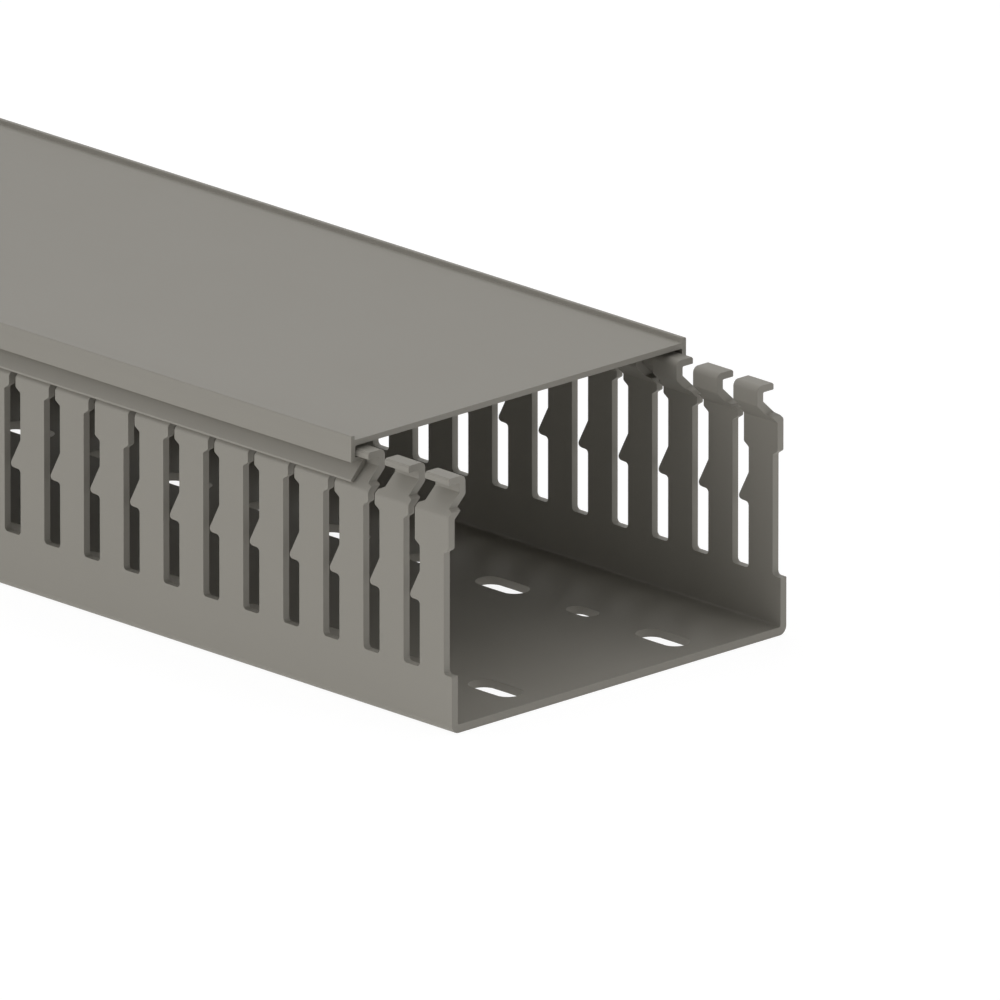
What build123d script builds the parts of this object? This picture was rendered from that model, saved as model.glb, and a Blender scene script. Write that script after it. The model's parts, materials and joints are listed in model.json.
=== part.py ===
"""Slotted PVC wiring duct with its clip-on cover.

The duct is one extruded U whose floor and walls are punched. The slots turn each wall into a row of fingers.
A finger carries a lug that keeps the wires in, widens at its neck until only a slit is left, leans inwards
above that, and ends in a hook that points outwards. The cover is a second extrusion. The shelf of each of its
skirts lies under the hooks, and a lip below the shelf closes down to the necks.

X runs along the duct and Z up, with the origin at the middle of the underside. Places along the duct are
measured from its near end, at +X. Sizes are in millimetres.
"""

from build123d import *
import os
from math import cos, floor, radians, sin, tan

# Overall sizes
duct_length = 500.0
duct_width = 100.0
duct_height = 60.0

# The extruded U
wall_thickness = 1.8
floor_thickness = 1.9
outer_corner_radius = 2.0
inner_corner_radius = 0.5

# Fingers
finger_pitch = 12.5
slot_width = 5.0
slot_foot_height = 13.0
lug_reach = 2.9
lug_slope = 62.0
lug_nose_height = 1.3
lug_below_middle = 1.2
lean_angle = 45.0
leg_height = 1.95
hook_reach = 3.1
hook_thickness = 1.6
hook_heel_cut = 1.05
hook_lead_in = 0.4

# Necks, which narrow the slot to a slit at the bend
slit_width = 2.0
slit_below_bend = 2.25
slit_above_bend = 0.85
shoulder_rise = 1.0
crown_rise = 0.75
long_neck_extra = 5.0
long_neck_every = 8

# Floor slots for screws, in two rows of large and small ones by turns
row_spacing = 50.0
hole_pitch = 50.0
large_slot_width = 6.7
large_slot_length = 14.2
large_slot_start = 12.5
small_slot_width = 4.8
small_slot_length = 8.3
small_slot_start = 37.5
end_margin = 3.0

# Cover
plate_thickness = 1.3
rim_height = 1.05
rim_width = 1.05
rim_edge_radius = 0.4
skirt_thickness = 1.25
shelf_thickness = 1.25
fold_radius = 0.7
lip_thickness = 0.95
lip_slope = 48.0
cover_set_back = 31.25

# Clearances between the cover and the fingers
snap_clearance = 0.3
fold_clearance = 0.35
lip_clearance = 0.15
hook_headroom = 0.75

# Heights, from the top of the cover down to the bend in the fingers
half_width = duct_width / 2
plate_top = duct_height - rim_height
plate_underside = plate_top - plate_thickness
hook_top = plate_underside - hook_headroom
hook_underside = hook_top - hook_thickness
leg_foot = hook_underside - leg_height
tip_inset = skirt_thickness + snap_clearance
leg_inset = tip_inset + hook_reach
bend_height = leg_foot - leg_inset * tan(radians(lean_angle))


def both_sides(half_outline):
    """The section of which half_outline, given as (inset from the outer face, height), is one side."""
    half = make_face(half_outline)
    return half + mirror(half, about=Plane.YZ)


def extruded(section, length, middle_x):
    """The section, drawn across and up, drawn out along X."""
    return Pos(middle_x - length / 2, 0, 0) * extrude(Plane.YZ * section, amount=length)


def duct_section():
    """The U with its fingers' leaning necks, legs and hooks, before anything is punched."""
    kink = wall_thickness * tan(radians(lean_angle) / 2)
    heel_inset = leg_inset + wall_thickness
    corners = [
        (half_width, 0, 0),
        (0, 0, outer_corner_radius),
        (0, bend_height, 0),
        (leg_inset, leg_foot, 0),
        (leg_inset, hook_underside, 0),
        (tip_inset, hook_underside, 0),
        (tip_inset, hook_top - hook_lead_in, 0),
        (tip_inset + hook_lead_in, hook_top, 0),
        (heel_inset - hook_heel_cut, hook_top, 0),
        (heel_inset, hook_top - hook_heel_cut, 0),
        (heel_inset, leg_foot - kink, 0),
        (wall_thickness, bend_height - kink, 0),
        (wall_thickness, floor_thickness, inner_corner_radius),
        (half_width, floor_thickness, 0),
    ]
    return both_sides(outline(corners))


def cover_section():
    """The plate between its two rims, the skirts, the shelves under the hooks and the lips."""
    shelf_top = hook_underside - snap_clearance
    shelf_underside = shelf_top - shelf_thickness
    nose_inset = leg_inset - fold_clearance
    lean = radians(lean_angle)
    slope = radians(lip_slope)
    lip_edge_inset = lip_thickness * sin(slope)
    lip_edge_height = bend_height + lip_edge_inset * tan(lean) + lip_clearance / cos(lean)
    lip_tip_height = lip_edge_height + lip_thickness * cos(slope)
    notch_inset = (shelf_underside - lip_tip_height) / tan(slope)
    nose_height = lip_edge_height + (nose_inset - lip_edge_inset) * tan(slope)
    corners = [
        (half_width, plate_top, 0),
        (rim_width, plate_top, 0),
        (rim_width, duct_height, 0),
        (0, duct_height, rim_edge_radius),
        (0, shelf_underside, 0),
        (notch_inset, shelf_underside, 0),
        (0, lip_tip_height, 0),
        (lip_edge_inset, lip_edge_height, 0),
        (nose_inset, nose_height, fold_radius / 2),
        (nose_inset, shelf_top, fold_radius),
        (skirt_thickness, shelf_top, 0),
        (skirt_thickness, plate_underside, 0),
        (half_width, plate_underside, 0),
    ]
    return both_sides(outline(corners))


def outline(corners):
    """A closed line through corners given as (inset, height, radius)."""
    points = [(half_width - inset, height) for inset, height, radius in corners]
    radii = [radius for inset, height, radius in corners]
    return FilletPolyline(*points, radius=radii, close=True)


def finger_slot(low_left, low_right):
    """The gap between two fingers, seen along Y. A low side belongs to a finger with a long neck."""
    half_slot = slot_width / 2
    half_slit = slit_width / 2
    slit_top = bend_height + slit_above_bend
    crown = slit_top + crown_rise
    left_slit_foot = bend_height - slit_below_bend - long_neck_extra * low_left
    right_slit_foot = bend_height - slit_below_bend - long_neck_extra * low_right
    shoulder_foot = bend_height - slit_below_bend - shoulder_rise

    lug_tip = half_slot - lug_reach
    lug_underside = (slot_foot_height + shoulder_foot) / 2 - lug_below_middle
    nose_top = lug_underside + lug_nose_height
    lug_top = nose_top + lug_reach * tan(radians(lug_slope))

    corners = [
        (-half_slot, slot_foot_height),
        (half_slot, slot_foot_height),
        (half_slot, lug_underside),
        (lug_tip, lug_underside),
        (lug_tip, nose_top),
        (half_slot, lug_top),
        (half_slot, right_slit_foot - shoulder_rise),
        (half_slit, right_slit_foot),
        (half_slit, slit_top),
        (half_slot, crown),
        (half_slot, duct_height),
        (-half_slot, duct_height),
        (-half_slot, crown),
        (-half_slit, slit_top),
        (-half_slit, left_slit_foot),
        (-half_slot, left_slit_foot - shoulder_rise),
    ]
    face = make_face(Polyline(*corners, close=True))
    return extrude(Plane.XZ * face, amount=half_width, both=True)


def finger_slots():
    """A slot at every pitch, the first cut through its middle by the near end."""
    cutters = []
    for index in range(floor(duct_length / finger_pitch) + 1):
        long_neck_beyond = index % long_neck_every == 0
        long_neck_before = (index - 1) % long_neck_every == 0
        x = duct_length / 2 - index * finger_pitch
        cutters.append(Pos(x, 0, 0) * finger_slot(long_neck_beyond, long_neck_before))
    return cutters


def floor_slots(start, length, width):
    """Both rows of one size of floor slot, at every hole pitch from start on."""
    hole = extrude(SlotOverall(length, width), amount=2 * floor_thickness, both=True)
    room = duct_length - start - length / 2 - end_margin
    cutters = []
    for index in range(floor(room / hole_pitch) + 1):
        x = duct_length / 2 - start - index * hole_pitch
        for y in (-row_spacing / 2, row_spacing / 2):
            cutters.append(Pos(x, y, 0) * hole)
    return cutters


def duct_base():
    """The punched U. Any sliver of neck that the far end's cut leaves loose falls away."""
    blank = extruded(duct_section(), duct_length, 0)
    large = floor_slots(large_slot_start, large_slot_length, large_slot_width)
    small = floor_slots(small_slot_start, small_slot_length, small_slot_width)
    punched = blank - (finger_slots() + large + small)
    return punched.solids().sort_by(SortBy.VOLUME)[-1]


def cover():
    """The cover, as long as the duct and pushed back from its near end."""
    return extruded(cover_section(), duct_length, -cover_set_back)


def main():
    os.makedirs("parts", exist_ok=True)
    for name, make in {"duct_base": duct_base, "cover": cover}.items():
        piece = make()
        piece.label = name
        export_step(piece, f"parts/{name}.step")
        box = piece.bounding_box()
        print(name, "volume", round(piece.volume), "size", box.size)


main()
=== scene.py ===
"""A slotted wiring duct with its clip-on cover, dressed in extruded grey PVC and lit as in the photograph.

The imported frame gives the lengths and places. Both extrusions are drawn again here, each to stand for its
node, with the small roundings that punching and extruding leave. The sizes are the same as the part's, but
for a few that were read more closely in the photograph.
"""

import json
import math

import bmesh
import bpy
from mathutils import Matrix, Vector

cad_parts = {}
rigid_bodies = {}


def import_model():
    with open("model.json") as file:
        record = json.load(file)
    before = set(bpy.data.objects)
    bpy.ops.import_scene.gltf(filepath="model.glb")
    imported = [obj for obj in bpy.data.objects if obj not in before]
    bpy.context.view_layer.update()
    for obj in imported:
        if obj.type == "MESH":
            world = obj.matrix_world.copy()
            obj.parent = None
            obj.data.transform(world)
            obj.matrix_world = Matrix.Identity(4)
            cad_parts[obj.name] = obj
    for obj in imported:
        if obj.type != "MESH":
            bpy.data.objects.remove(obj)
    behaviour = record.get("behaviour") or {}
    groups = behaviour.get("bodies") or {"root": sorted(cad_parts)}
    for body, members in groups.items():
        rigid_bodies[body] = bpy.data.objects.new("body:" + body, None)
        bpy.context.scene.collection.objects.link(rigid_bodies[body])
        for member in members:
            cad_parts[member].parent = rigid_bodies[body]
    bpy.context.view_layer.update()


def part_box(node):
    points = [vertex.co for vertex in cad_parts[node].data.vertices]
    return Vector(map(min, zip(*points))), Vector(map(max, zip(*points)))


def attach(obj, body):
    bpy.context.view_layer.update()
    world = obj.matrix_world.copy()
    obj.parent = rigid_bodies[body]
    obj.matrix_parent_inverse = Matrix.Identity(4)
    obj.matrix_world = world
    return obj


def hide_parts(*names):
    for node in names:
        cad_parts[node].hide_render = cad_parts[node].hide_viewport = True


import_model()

MM = 0.001

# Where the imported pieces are
base_low, base_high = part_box("duct_base")
cover_low, cover_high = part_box("cover")
NEAR_END = base_high.x
FAR_END = base_low.x
HALF_WIDTH = base_high.y
TOP = cover_high.z

# The extruded U
WALL = 1.8 * MM
FLOOR = 1.9 * MM
OUTER_CORNER = 2.0 * MM
INNER_CORNER = 0.5 * MM

# Fingers
PITCH = 12.5 * MM
SLOT_WIDTH = 5.0 * MM
SLOT_FOOT = 13.0 * MM
SLOT_CORNER = 0.9 * MM
LUG_REACH = 2.9 * MM
LUG_SLOPE = math.radians(62)
LUG_NOSE = 0.9 * MM
LUG_ROOT = 0.8 * MM
LUG_UNDERSIDE = 28.15 * MM
LUG_UNDERSIDE_RISE = 0.2 * MM
LEAN = math.radians(43.4)
LEG_HEIGHT = 2.05 * MM
HOOK_REACH = 3.1 * MM
HOOK_THICKNESS = 1.6 * MM
HOOK_HEEL = 1.4 * MM
HOOK_TIP = 0.4 * MM
HOOK_TIP_UNDERSIDE = 0.2 * MM
HOOK_ROOT = 0.25 * MM
BEND = 0.9 * MM
INNER_BEND = 0.3 * MM
LEG_CREASE = 0.12 * MM
HEEL_BEND = 0.8 * MM

# Necks
SLIT_WIDTH = 2.0 * MM
SLIT_BELOW_BEND = 2.25 * MM
SLIT_ABOVE_BEND = 0.95 * MM
SHOULDER_RISE = 1.0 * MM
CROWN_RISE = 0.38 * MM
SHOULDER_ROUNDING = 0.45 * MM
CROWN_EDGE = 0.3 * MM
CROWN_ROOT = 0.3 * MM
LONG_NECK_EXTRA = 5.0 * MM
LONG_NECK_EVERY = 8

# Floor slots: width, length and first place from the near end
ROW = 25 * MM
HOLE_PITCH = 50 * MM
FLOOR_SLOTS = ((6.7 * MM, 14.2 * MM, 12.5 * MM), (4.8 * MM, 8.3 * MM, 37.5 * MM))
HOLE_SIDES = 32
HOLE_DEPTH = 4 * FLOOR

# Cover
PLATE = 1.3 * MM
RIM_HEIGHT = 1.05 * MM
RIM_WIDTH = 1.05 * MM
RIM_EDGE = 0.22 * MM
RIM_INNER_EDGE = 0.2 * MM
RIM_ROOT = 0.15 * MM
SKIRT = 1.25 * MM
SKIRT_EDGE = 0.15 * MM
SKIRT_ROOT = 0.3 * MM
SHELF = 0.95 * MM
SHELF_ROOT = 0.2 * MM
FOLD = 0.7 * MM
LIP = 0.95 * MM
LIP_SLOPE = math.radians(48)
SHELF_DROP = 2.65 * MM
LIP_DROP = 8.12 * MM
LIP_EDGE = 0.45 * MM
LIP_CREASE = 0.1 * MM
LIP_UNDERSIDE_EDGE = 0.1 * MM

# Clearances between the cover and the fingers
TIP_GAP = 0.3 * MM
FOLD_GAP = 0.35 * MM
HOOK_HEADROOM = 0.84 * MM

# Soft edges that catch the light
CUT_EDGE = 0.06 * MM
EDGE_STEPS = 2
SOFT_ANGLE = math.radians(38)

# Faces to a rounded corner, how far a cutter stands past what it cuts, and how near is the same place
DUCT_STEPS = 6
COVER_STEPS = 5
SLOT_STEPS = 4
CUTTER_OVERRUN = 5 * MM
SAME_PLACE = 0.01 * MM

# Heights and insets that follow
PLATE_TOP = TOP - RIM_HEIGHT
PLATE_UNDERSIDE = PLATE_TOP - PLATE
HOOK_TOP = PLATE_UNDERSIDE - HOOK_HEADROOM
HOOK_UNDERSIDE = HOOK_TOP - HOOK_THICKNESS
LEG_FOOT = HOOK_UNDERSIDE - LEG_HEIGHT
TIP_INSET = SKIRT + TIP_GAP
LEG_INSET = TIP_INSET + HOOK_REACH
BEND_HEIGHT = LEG_FOOT - LEG_INSET * math.tan(LEAN)

# Finish: linear colours, and noise scales in waves a metre
PVC_GREY = (0.29, 0.275, 0.242)
ROUGHNESS = 0.5
SPECULAR = 0.24
MOTTLE_SCALE = 60
GRAIN_SCALE = 2600
DIE_SCALE = 1500
DIE_STRETCH = (0.02, 1, 1)
MOTTLE_DETAIL = 3
FINE_DETAIL = 2
RELIEF = 0.1
RELIEF_DEPTH = 0.05 * MM
TINT_SPREAD = 0.02

# How much each noise counts
GRAIN_IN_RELIEF = 0.6
LINES_IN_RELIEF = 0.4
MOTTLE_IN_TINT = 0.7
LINES_IN_TINT = 0.3
MOTTLE_IN_ROUGHNESS = 0.06
GRAIN_IN_ROUGHNESS = 0.04

# Surroundings
WHITE = (1, 1, 1, 1)
FLOOR_RADIUS = 3
FLOOR_SIDES = 64
FLOOR_PAINT = (0.9, 0.9, 0.9, 1)
FLOOR_GLOW = 0.35
FLOOR_WHITE = 0.92
SHADOW_PAINT = (0.16, 0.16, 0.16, 1)
SKY = 0.1

# Lamps: degrees from across the duct towards its far end, degrees up, breadth in degrees, and strength
LAMPS = (
    ("left_lamp", 180, 0, 30, 0.08),
    ("far_left_lamp", 150, 15, 60, 0.365),
    ("far_high_lamp", 80, 60, 40, 0.18),
    ("high_lamp", 0, 65, 30, 0.10),
    ("overhead_lamp", 0, 90, 90, 0.14),
    ("near_lamp", 300, 0, 60, 0.235),
    ("streak_lamp", 45, 35, 14, 0.05),
)

# The camera: the photograph is a parallel view, so its lens is as long as the other views allow. It looks at
# the point in the middle of the photograph, and its frame is FRAME_WIDTH wide at a depth behind that point.
AZIMUTH = math.radians(46.193)
ELEVATION = math.radians(18.165)
FRAME_WIDTH = 216.25 * MM
LENS = 1700
SENSOR = 36
CLIP_START = 0.1
CLIP_END = 40
MIDDLE_ACROSS = 21.45 * MM
MIDDLE_ALONG = 7.47 * MM
MIDDLE_HEIGHT = 46.44 * MM
DEPTH_OF_SCALE = 75 * MM


def select_only(pieces):
    """Selects these pieces and nothing else, with the first one active."""
    bpy.ops.object.select_all(action="DESELECT")
    for piece in pieces:
        piece.select_set(True)
    bpy.context.view_layer.objects.active = pieces[0]


def edit_alone(piece):
    """Edit mode on this piece, with nothing else selected."""
    select_only([piece])
    bpy.ops.object.mode_set(mode="EDIT")


def select_where(piece, wanted):
    """In edit mode, selects only the vertices whose places are wanted."""
    mesh = bmesh.from_edit_mesh(piece.data)
    for vertex in mesh.verts:
        vertex.select = wanted(vertex.co)
    mesh.select_flush_mode()
    bmesh.update_edit_mesh(piece.data)


def rounded_turn(before, corner, after, radius):
    """How far from a corner a rounding of this radius starts, given the corners before and after it."""
    turn = (corner - before).angle(after - corner)
    return radius * math.tan(turn / 2)


def drawn_face(name, corners, steps):
    """A face drawn from corners given as (point, radius), which are rounded once it is closed."""
    points = [Vector(point) for point, radius in corners]
    bpy.ops.object.select_all(action="DESELECT")
    bpy.ops.mesh.primitive_plane_add(size=MM, location=points[0])
    piece = bpy.context.object
    piece.name = name
    bpy.ops.object.transform_apply(location=True, rotation=True, scale=True)
    bpy.ops.object.mode_set(mode="EDIT")
    bpy.ops.mesh.merge(type="CENTER")
    for start, end in zip(points, points[1:]):
        bpy.ops.mesh.extrude_region_move(TRANSFORM_OT_translate={"value": end - start})
    bpy.ops.mesh.select_all(action="SELECT")
    bpy.ops.mesh.edge_face_add()
    for index, (point, radius) in enumerate(corners):
        if radius:
            corner = points[index]
            offset = rounded_turn(points[index - 1], corner, points[(index + 1) % len(points)], radius)
            select_where(piece, lambda place: (place - corner).length < SAME_PLACE)
            bpy.ops.mesh.bevel(offset=offset, segments=steps, profile=0.5, affect="VERTICES")
    bpy.ops.object.mode_set(mode="OBJECT")
    return piece


def extrude_to_solid(piece, travel):
    """Extrudes a drawn face into a solid with its faces pointing outwards."""
    edit_alone(piece)
    bpy.ops.mesh.select_all(action="SELECT")
    bpy.ops.mesh.extrude_region_move(TRANSFORM_OT_translate={"value": travel})
    bpy.ops.mesh.select_all(action="SELECT")
    bpy.ops.mesh.normals_make_consistent(inside=False)
    bpy.ops.object.mode_set(mode="OBJECT")
    return piece


def apply_modifier(piece, kind, **settings):
    """Adds a modifier with these settings and applies it."""
    modifier = piece.modifiers.new(kind.lower(), kind)
    for key, value in settings.items():
        setattr(modifier, key, value)
    bpy.context.view_layer.objects.active = piece
    bpy.ops.object.modifier_apply(modifier=modifier.name)


def copy_at(piece, travel):
    """A copy of a piece with its own mesh, moved by travel."""
    other = piece.copy()
    other.data = piece.data.copy()
    other.data.transform(Matrix.Translation(travel))
    bpy.context.collection.objects.link(other)
    return other


def joined(pieces, name):
    """One piece from many."""
    select_only(pieces)
    bpy.ops.object.join()
    pieces[0].name = name
    return pieces[0]


def cut_out(piece, cutters):
    """Takes the joined cutters out of a piece."""
    tool = joined(cutters, "cutters")
    apply_modifier(piece, "BOOLEAN", operation="DIFFERENCE", solver="EXACT", object=tool)
    bpy.data.objects.remove(tool)


def soften(piece):
    """Rounds the crisp edges a little and shades the rest as flat or smooth by its angle."""
    select_only([piece])
    bpy.ops.object.shade_smooth_by_angle(angle=SOFT_ANGLE)
    apply_modifier(
        piece,
        "BEVEL",
        width=CUT_EDGE,
        segments=EDGE_STEPS,
        limit_method="ANGLE",
        angle_limit=SOFT_ANGLE,
        harden_normals=True,
        use_clamp_overlap=True,
    )


def section(half_corners, end):
    """Corners of both sides of a section at an end, from (inset, height, radius) of one side."""
    right = [((end, HALF_WIDTH - inset, height), radius) for inset, height, radius in half_corners]
    left = [((end, inset - HALF_WIDTH, height), radius) for inset, height, radius in reversed(half_corners)]
    return right + left


def duct_blank():
    """The U with its leaning necks, legs and hooks along its whole length."""
    kink = WALL * math.tan((math.radians(90) - LEAN) / 2)
    heel = LEG_INSET + WALL
    half = [
        (0, 0, OUTER_CORNER),
        (0, BEND_HEIGHT, BEND),
        (LEG_INSET, LEG_FOOT, LEG_CREASE),
        (LEG_INSET, HOOK_UNDERSIDE, HOOK_ROOT),
        (TIP_INSET, HOOK_UNDERSIDE, HOOK_TIP_UNDERSIDE),
        (TIP_INSET, HOOK_TOP - HOOK_TIP, 0),
        (TIP_INSET + HOOK_TIP, HOOK_TOP, 0),
        (heel, HOOK_TOP, HOOK_HEEL),
        (heel, LEG_FOOT - kink, HEEL_BEND),
        (WALL, BEND_HEIGHT - kink, INNER_BEND),
        (WALL, FLOOR, INNER_CORNER),
    ]
    face = drawn_face("duct_base_dressed", section(half, FAR_END), DUCT_STEPS)
    return extrude_to_solid(face, (NEAR_END - FAR_END, 0, 0))


def finger_slot(low_left, low_right):
    """A cutter for the gap between two fingers, through both walls, centred at the origin."""
    half_slot = SLOT_WIDTH / 2
    half_slit = SLIT_WIDTH / 2
    slit_top = BEND_HEIGHT + SLIT_ABOVE_BEND
    crown = slit_top + CROWN_RISE
    above = TOP + CUTTER_OVERRUN
    left_foot = BEND_HEIGHT - SLIT_BELOW_BEND - LONG_NECK_EXTRA * low_left
    right_foot = BEND_HEIGHT - SLIT_BELOW_BEND - LONG_NECK_EXTRA * low_right
    # A sharp nose would reach this much further than its rounding does
    overrun = LUG_NOSE * (1 / math.tan(LUG_SLOPE / 2) - 1)
    lug_top = LUG_UNDERSIDE + (LUG_REACH + overrun) * math.tan(LUG_SLOPE)
    side = HALF_WIDTH + CUTTER_OVERRUN
    outline = [
        (-half_slot, SLOT_FOOT, SLOT_CORNER),
        (half_slot, SLOT_FOOT, SLOT_CORNER),
        (half_slot, LUG_UNDERSIDE - LUG_UNDERSIDE_RISE, LUG_ROOT),
        (half_slot - LUG_REACH - overrun, LUG_UNDERSIDE, LUG_NOSE),
        (half_slot, lug_top, SHOULDER_ROUNDING),
        (half_slot, right_foot - SHOULDER_RISE, SHOULDER_ROUNDING),
        (half_slit, right_foot, SHOULDER_ROUNDING),
        (half_slit, slit_top, CROWN_EDGE),
        (half_slot, crown, CROWN_ROOT),
        (half_slot, above, 0),
        (-half_slot, above, 0),
        (-half_slot, crown, CROWN_ROOT),
        (-half_slit, slit_top, CROWN_EDGE),
        (-half_slit, left_foot, SHOULDER_ROUNDING),
        (-half_slot, left_foot - SHOULDER_RISE, SHOULDER_ROUNDING),
    ]
    corners = [((x, -side, height), radius) for x, height, radius in outline]
    return extrude_to_solid(drawn_face("finger_slot", corners, SLOT_STEPS), (0, 2 * side, 0))


def finger_slots():
    """Cutters for every slot. The ones beside a long neck have a lower shoulder on its side."""
    shapes = {
        "beyond": finger_slot(True, False),
        "before": finger_slot(False, True),
        "plain": finger_slot(False, False),
    }
    cutters = []
    for index in range(round((NEAR_END - FAR_END) / PITCH) + 1):
        kind = "plain"
        if index % LONG_NECK_EVERY == 0:
            kind = "beyond"
        elif index % LONG_NECK_EVERY == 1:
            kind = "before"
        cutters.append(copy_at(shapes[kind], (NEAR_END - index * PITCH, 0, 0)))
    for shape in shapes.values():
        bpy.data.objects.remove(shape)
    return cutters


def floor_slot(width, length):
    """A cutter for one floor slot at the origin: a cylinder pulled apart into an obround."""
    bpy.ops.object.select_all(action="DESELECT")
    bpy.ops.mesh.primitive_cylinder_add(vertices=HOLE_SIDES, radius=width / 2, depth=HOLE_DEPTH)
    hole = bpy.context.object
    hole.name = "floor_slot"
    pull = (length - width) / 2
    edit_alone(hole)
    for side in (-1, 1):
        select_where(hole, lambda place: place.x * side > SAME_PLACE)
        bpy.ops.transform.translate(value=(side * pull, 0, 0))
    bpy.ops.object.mode_set(mode="OBJECT")
    return hole


def floor_slots():
    """Cutters for both rows of large and small floor slots."""
    cutters = []
    for width, length, start in FLOOR_SLOTS:
        hole = floor_slot(width, length)
        for index in range(int((NEAR_END - FAR_END - start) / HOLE_PITCH) + 1):
            for side in (-ROW, ROW):
                cutters.append(copy_at(hole, (NEAR_END - start - index * HOLE_PITCH, side, 0)))
        bpy.data.objects.remove(hole)
    return cutters


def drop_loose_bits(piece):
    """Deletes what the cuts have left hanging free of the floor."""
    edit_alone(piece)
    bpy.ops.mesh.select_all(action="DESELECT")
    mesh = bmesh.from_edit_mesh(piece.data)
    lowest = min(mesh.verts, key=lambda vertex: vertex.co.z)
    lowest.select = True
    bmesh.update_edit_mesh(piece.data)
    bpy.ops.mesh.select_linked()
    bpy.ops.mesh.select_all(action="INVERT")
    bpy.ops.mesh.delete(type="VERT")
    bpy.ops.object.mode_set(mode="OBJECT")


def duct_base():
    """The punched duct, with its edges softened."""
    piece = duct_blank()
    cut_out(piece, finger_slots() + floor_slots())
    drop_loose_bits(piece)
    soften(piece)
    return piece


def cover():
    """The cover: a plate between two rims, skirts, shelves under the hooks and lips."""
    shelf_top = PLATE_UNDERSIDE - SHELF_DROP
    shelf_underside = shelf_top - SHELF
    nose = LEG_INSET - FOLD_GAP
    edge_inset = LIP * math.sin(LIP_SLOPE)
    edge_height = PLATE_UNDERSIDE - LIP_DROP
    tip_height = edge_height + LIP * math.cos(LIP_SLOPE)
    notch = (shelf_underside - tip_height) / math.tan(LIP_SLOPE)
    nose_height = edge_height + (nose - edge_inset) * math.tan(LEAN)
    half = [
        (RIM_WIDTH, PLATE_TOP, RIM_ROOT),
        (RIM_WIDTH, TOP, RIM_INNER_EDGE),
        (RIM_EDGE, TOP, 0),
        (0, TOP - RIM_EDGE, 0),
        (0, shelf_underside, SKIRT_EDGE),
        (notch, shelf_underside, LIP_CREASE),
        (0, tip_height, 0),
        (0, tip_height - LIP_EDGE, 0),
        (edge_inset, edge_height, LIP_UNDERSIDE_EDGE),
        (nose, nose_height, FOLD / 2),
        (nose, shelf_top, FOLD),
        (SKIRT, shelf_top, SHELF_ROOT),
        (SKIRT, PLATE_UNDERSIDE, SKIRT_ROOT),
    ]
    face = drawn_face("cover_dressed", section(half, cover_low.x), COVER_STEPS)
    piece = extrude_to_solid(face, (cover_high.x - cover_low.x, 0, 0))
    soften(piece)
    return piece


class Socket:
    """A shader socket that makes Math nodes of the sums written with it."""

    def __init__(self, shader, output):
        self.shader = shader
        self.output = output

    def maths(self, operation, first, second):
        return self.shader.node("ShaderNodeMath", {"operation": operation}, {0: first, 1: second})

    def __add__(self, other):
        return self.maths("ADD", self, other)

    def __mul__(self, other):
        return self.maths("MULTIPLY", self, other)

    __radd__ = __add__
    __rmul__ = __mul__


class Shader:
    """The nodes of a material or a world, all added by one method."""

    def __init__(self, holder):
        self.holder = holder
        holder.use_nodes = True
        self.tree = holder.node_tree
        self.tree.nodes.clear()

    def node(self, kind, settings=None, sockets=None, output=0):
        """Adds a node with its settings and its sockets' values or links, and gives its output, if any."""
        node = self.tree.nodes.new(kind)
        for key, value in (settings or {}).items():
            setattr(node, key, value)
        for key, value in (sockets or {}).items():
            if isinstance(value, Socket):
                self.tree.links.new(value.output, node.inputs[key])
            else:
                node.inputs[key].default_value = value
        return Socket(self, node.outputs[output]) if node.outputs else None


def shade(colour, times):
    """A colour made lighter or darker, with its alpha."""
    return tuple(channel * times for channel in colour) + (1,)


def noise(shader, place, scale, detail):
    """Noise of so many waves a metre."""
    return shader.node("ShaderNodeTexNoise", sockets={"Vector": place, "Scale": scale, "Detail": detail})


def grey_pvc(name):
    """Matte extruded PVC: a faint mottle, fine grain and faint die lines along the extrusion."""
    shader = Shader(bpy.data.materials.new(name))
    place = shader.node("ShaderNodeTexCoord", output="Object")
    along = shader.node("ShaderNodeMapping", sockets={"Vector": place, "Scale": DIE_STRETCH})
    mottle = noise(shader, place, MOTTLE_SCALE, MOTTLE_DETAIL)
    grain = noise(shader, place, GRAIN_SCALE, FINE_DETAIL)
    lines = noise(shader, along, DIE_SCALE, FINE_DETAIL)
    height = grain * GRAIN_IN_RELIEF + lines * LINES_IN_RELIEF
    relief = {"Height": height, "Strength": RELIEF, "Distance": RELIEF_DEPTH}
    bump = shader.node("ShaderNodeBump", sockets=relief)
    cloud = mottle * MOTTLE_IN_TINT + lines * LINES_IN_TINT
    dark, light = shade(PVC_GREY, 1 - TINT_SPREAD), shade(PVC_GREY, 1 + TINT_SPREAD)
    # Inputs 0, 6 and 7 and output 2 are the factor and the colours of a Mix node
    tint = shader.node("ShaderNodeMix", {"data_type": "RGBA"}, {0: cloud, 6: dark, 7: light}, output=2)
    finish = {
        "Base Color": tint,
        "Roughness": ROUGHNESS + mottle * MOTTLE_IN_ROUGHNESS + grain * GRAIN_IN_ROUGHNESS,
        "Normal": bump,
        "Specular IOR Level": SPECULAR,
    }
    surface = shader.node("ShaderNodeBsdfPrincipled", sockets=finish)
    shader.node("ShaderNodeOutputMaterial", sockets={"Surface": surface})
    return shader.holder


def dress(piece, body, node, material):
    """Gives a finished piece its finish and its place in the frame."""
    piece.data.materials.clear()
    piece.data.materials.append(material)
    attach(piece, body)
    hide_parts(node)


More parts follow.
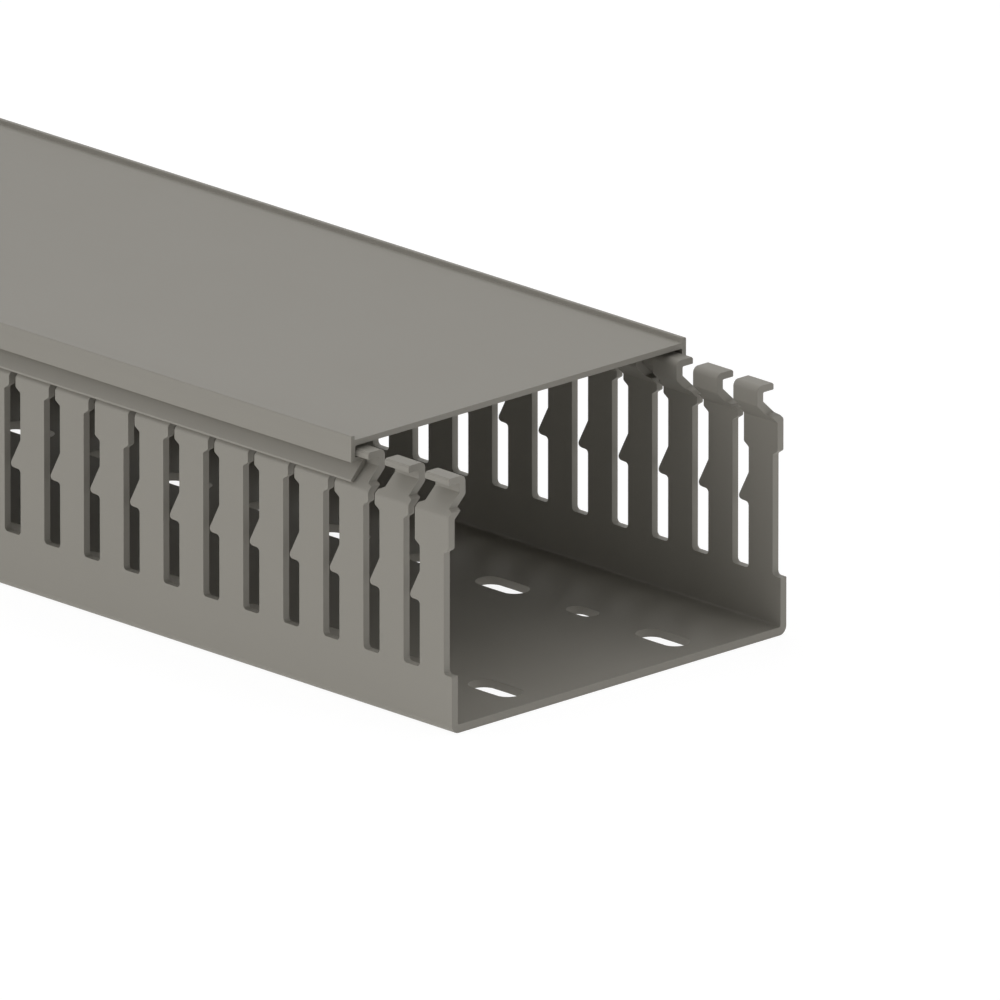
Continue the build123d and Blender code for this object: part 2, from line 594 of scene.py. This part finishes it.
def make_camera():
    """A long lens at the photograph's angle, whose frame is as wide at the fingers as the photograph's."""
    back = Vector(
        (
            math.sin(AZIMUTH) * math.cos(ELEVATION),
            -math.cos(AZIMUTH) * math.cos(ELEVATION),
            math.sin(ELEVATION),
        )
    )
    middle = Vector((NEAR_END - MIDDLE_ALONG, MIDDLE_ACROSS - HALF_WIDTH, MIDDLE_HEIGHT))
    distance = FRAME_WIDTH * LENS / SENSOR
    data = bpy.data.cameras.new("camera")
    data.lens = LENS
    data.sensor_width = SENSOR
    data.clip_start = CLIP_START
    data.clip_end = CLIP_END
    camera = bpy.data.objects.new("camera", data)
    camera.rotation_mode = "QUATERNION"
    camera.location = middle + back * (distance - DEPTH_OF_SCALE)
    camera.rotation_quaternion = (-back).to_track_quat("-Z", "Y")
    bpy.context.scene.collection.objects.link(camera)
    bpy.context.scene.camera = camera


def seen(shader):
    """1 for a ray that shows what it hits, by eye, mirror or glass, and 0 for one that only carries light."""
    kinds = ("Is Camera Ray", "Is Glossy Ray", "Is Transmission Ray")
    camera, mirror, glass = [shader.node("ShaderNodeLightPath", output=kind) for kind in kinds]
    return camera + mirror + glass


def make_floor():
    """A pale floor that glows a little, as a light table does, and shows as white with a faint shadow."""
    bpy.ops.object.select_all(action="DESELECT")
    bpy.ops.mesh.primitive_circle_add(vertices=FLOOR_SIDES, radius=FLOOR_RADIUS, fill_type="NGON")
    floor = bpy.context.object
    floor.name = "floor"
    shader = Shader(bpy.data.materials.new("pale_floor"))
    paint = shader.node("ShaderNodeBsdfDiffuse", sockets={"Color": FLOOR_PAINT})
    glow = shader.node("ShaderNodeEmission", sockets={"Color": WHITE, "Strength": FLOOR_GLOW})
    unseen = shader.node("ShaderNodeAddShader", sockets={0: paint, 1: glow})
    white = shader.node("ShaderNodeEmission", sockets={"Color": WHITE, "Strength": FLOOR_WHITE})
    shadow = shader.node("ShaderNodeBsdfDiffuse", sockets={"Color": SHADOW_PAINT})
    shown = shader.node("ShaderNodeAddShader", sockets={0: white, 1: shadow})
    surface = shader.node("ShaderNodeMixShader", sockets={0: seen(shader), 1: unseen, 2: shown})
    shader.node("ShaderNodeOutputMaterial", sockets={"Surface": surface})
    floor.data.materials.append(shader.holder)


def make_sky():
    """A dim even sky, which shows as white."""
    world = bpy.data.worlds.new("sky")
    shader = Shader(world)
    sky = shader.node("ShaderNodeBackground", sockets={"Color": WHITE, "Strength": SKY})
    white = shader.node("ShaderNodeBackground", sockets={"Color": WHITE, "Strength": 1})
    surface = shader.node("ShaderNodeMixShader", sockets={0: seen(shader), 1: sky, 2: white})
    shader.node("ShaderNodeOutputWorld", sockets={"Surface": surface})
    bpy.context.scene.world = world


def make_lamps():
    """Broad lamps round the object, and a small one that draws the faint streaks inside the duct."""
    for name, azimuth, elevation, breadth, strength in LAMPS:
        turn = math.radians(azimuth)
        lift = math.radians(elevation)
        data = bpy.data.lights.new(name, "SUN")
        data.energy = math.pi * strength
        data.angle = math.radians(breadth)
        lamp = bpy.data.objects.new(name, data)
        lamp.rotation_mode = "QUATERNION"
        to_lamp = Vector((-math.sin(turn) * math.cos(lift), math.cos(turn) * math.cos(lift), math.sin(lift)))
        lamp.rotation_quaternion = to_lamp.to_track_quat("Z", "Y")
        bpy.context.scene.collection.objects.link(lamp)


make_camera()
make_floor()
make_sky()
make_lamps()
dress(duct_base(), "duct", "duct_base", grey_pvc("duct_pvc_finish"))
dress(cover(), "lid", "cover", grey_pvc("cover_pvc_finish"))

bpy.context.scene.view_settings.view_transform = "Standard"
